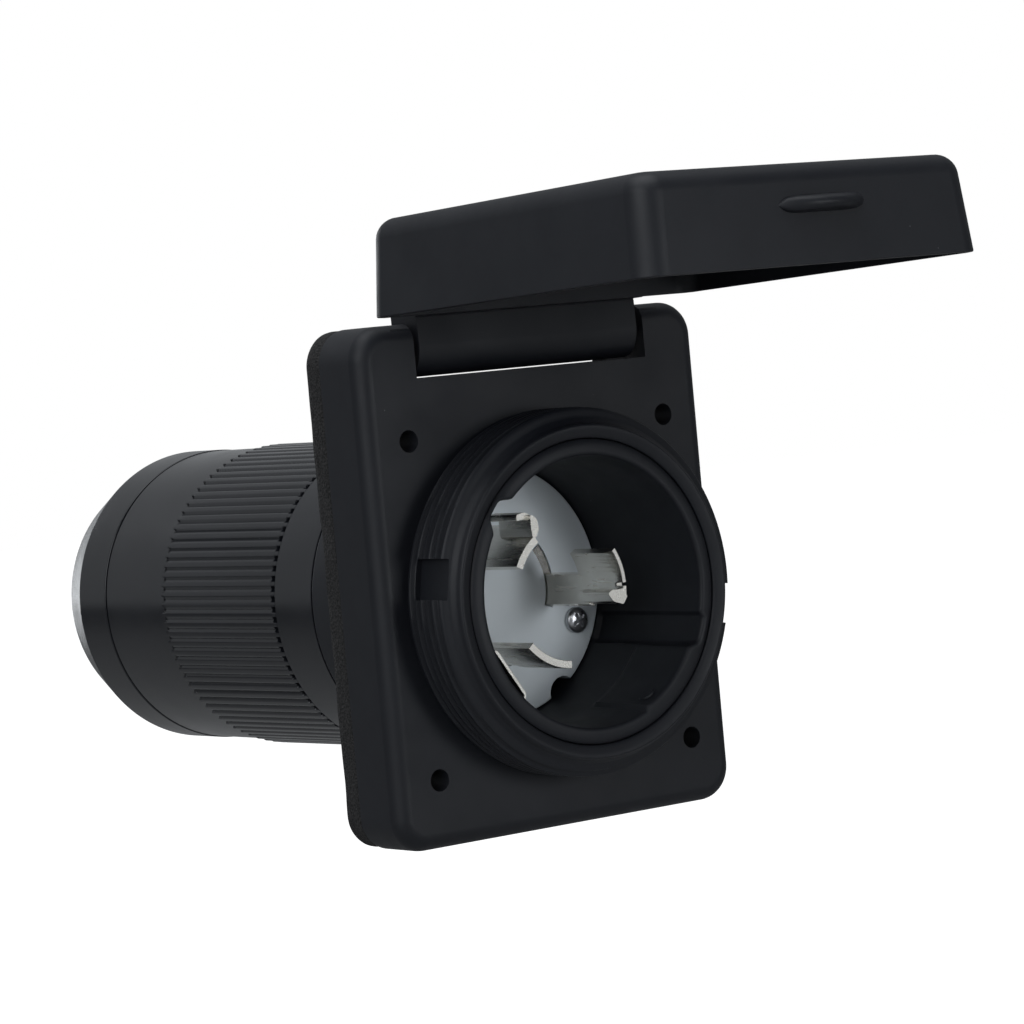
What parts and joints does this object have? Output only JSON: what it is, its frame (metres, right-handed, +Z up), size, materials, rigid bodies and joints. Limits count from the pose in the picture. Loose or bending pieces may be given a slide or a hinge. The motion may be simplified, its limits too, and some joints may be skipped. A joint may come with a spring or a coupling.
{
  "type": "flush-mount twist-lock power inlet",
  "caption": "Flush-mounted generator power inlet: square flange with hinged cover, threaded collar, twist-lock blades in a round cup, foam gasket and a ribbed rear sleeve with cable nut.",
  "frame": {"origin": "on the cup's axis, in the plane of the wall face that the foam gasket's back bears on", "axes": "+Y into the wall along the cup's axis, -Y towards the plug, +Z up, +X to the right seen from in front"},
  "size_m": [0.098, 0.2742, 0.1452],
  "materials": {
    "black_satin": "satin moulded",
    "black_gloss": "polished moulded",
    "foam": "closed-cell foam",
    "rubber": "matte",
    "grey_plastic": "satin moulded",
    "block_plastic": "moulded thermoset",
    "nickel": "nickel plated",
    "steel": "zinc plated",
    "brass": "plain",
    "green_screw": "green passivated"
  },
  "bodies": {
    "inlet": {"flange_housing": "black_satin", "foam_gasket": "foam", "inlet_cup": "black_gloss", "cup_seal": "rubber", "body_screw_1": "steel", "body_screw_2": "steel", "body_screw_3": "steel", "body_screw_4": "steel", "hinge_pin": "steel", "contact_carrier": "grey_plastic", "carrier_screw_right": "steel", "carrier_screw_left": "steel", "blade_neutral": "nickel", "blade_line_x": "nickel", "blade_line_y": "nickel", "ground_strap": "nickel", "terminal_block": "block_plastic", "lug_neutral": "brass", "lug_line_x": "brass", "lug_line_y": "brass", "lug_screw_neutral": "steel", "lug_screw_line_x": "steel", "lug_screw_line_y": "steel", "ground_screw": "green_screw", "ground_washer": "steel", "block_screw_1": "steel", "block_screw_2": "steel", "block_screw_3": "steel"},
    "cover": {"lid": "black_satin", "lid_seal": "foam"},
    "sleeve_travel": {"sleeve_seal": "rubber"},
    "sleeve": {"rear_sleeve": "black_gloss", "cable_grommet": "rubber"},
    "nut_travel": {"slip_washer": "steel"},
    "nut": {"rear_nut": "black_gloss"}
  },
  "joints": [
    {"name": "lid_hinge", "type": "hinge", "parent": "inlet", "child": "cover", "pos_m": [0, -0.0155, 0.0596], "axis": [1, 0, 0], "range_deg": [-30, 91.5]},
    {"name": "sleeve_slide", "type": "slide", "parent": "inlet", "child": "sleeve_travel", "axis": [0, 1, 0], "range_m": [0, 0.0124]},
    {"name": "sleeve_turn", "type": "hinge", "parent": "sleeve_travel", "child": "sleeve", "pos_m": [0, 0.07, 0], "axis": [0, 1, 0], "range_deg": [0, 1080]},
    {"name": "nut_slide", "type": "slide", "parent": "sleeve", "child": "nut_travel", "axis": [0, 1, 0], "range_m": [0, 0.0066]},
    {"name": "nut_turn", "type": "hinge", "parent": "nut_travel", "child": "nut", "pos_m": [0, 0.13, 0], "axis": [0, 1, 0], "range_deg": [0, 720]}
  ],
  "couplings": [
    {"joint": "sleeve_slide", "follows": "sleeve_turn", "m_per_rad": 0.00063662},
    {"joint": "nut_slide", "follows": "nut_turn", "m_per_rad": 0.00047746}
  ]
}
